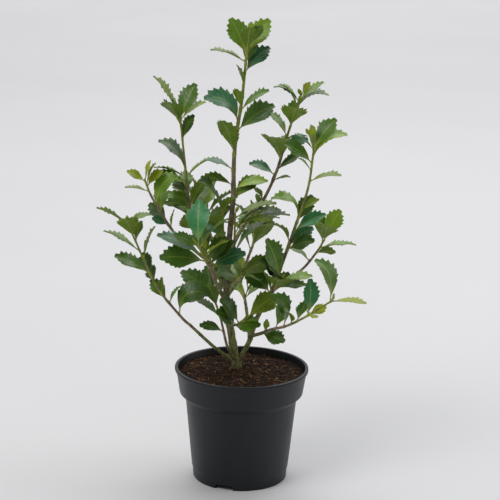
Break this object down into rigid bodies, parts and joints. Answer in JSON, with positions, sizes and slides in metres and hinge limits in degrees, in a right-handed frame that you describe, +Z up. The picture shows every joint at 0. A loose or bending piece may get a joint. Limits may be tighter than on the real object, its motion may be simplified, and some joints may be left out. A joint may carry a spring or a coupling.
{
  "type": "potted maximowicz holly shrub",
  "caption": "Young evergreen holly shrub with slim upright forking stems and glossy spiny-toothed leaves, growing in a round black plastic nursery pot filled with dark soil.",
  "frame": {"origin": "middle of the pot's flat underside, on the ground", "axes": "+Z up along the plant, -Y towards the front, +X to the right as seen from the front"},
  "size_m": [0.3376, 0.2459, 0.5848],
  "materials": {
    "pot_plastic": "semi-matte moulded black plastic",
    "soil": "loose dark peat with bark chips and fibres",
    "bark": "fine rough grey-brown bark, greener on young stems",
    "leaves": "glossy leathery green, yellower when young"
  },
  "bodies": {
    "root": {"pot": "pot_plastic", "soil": "soil", "trunk": "bark", "low_left_bough": "bark", "right_bough": "bark", "left_stem": "bark", "front_bough": "bark", "left_bough": "bark", "left_side_bough": "bark", "right_top_bough": "bark", "right_side_bough": "bark", "low_right_bough": "bark", "back_left_bough": "bark", "back_right_bough": "bark", "back_low_bough": "bark", "leader_foliage": "leaves", "low_left_foliage": "leaves", "right_high_foliage": "leaves", "left_stem_foliage": "leaves", "front_foliage": "leaves", "left_top_foliage": "leaves", "left_high_foliage": "leaves", "right_top_foliage": "leaves", "right_side_foliage": "leaves", "low_right_foliage": "leaves", "back_left_foliage": "leaves", "back_right_foliage": "leaves", "back_low_foliage": "leaves", "trunk_right_spray": "leaves", "trunk_left_spray": "leaves", "low_spray": "leaves", "inner_spray": "leaves", "right_bough_spray": "leaves"}
  },
  "joints": []
}
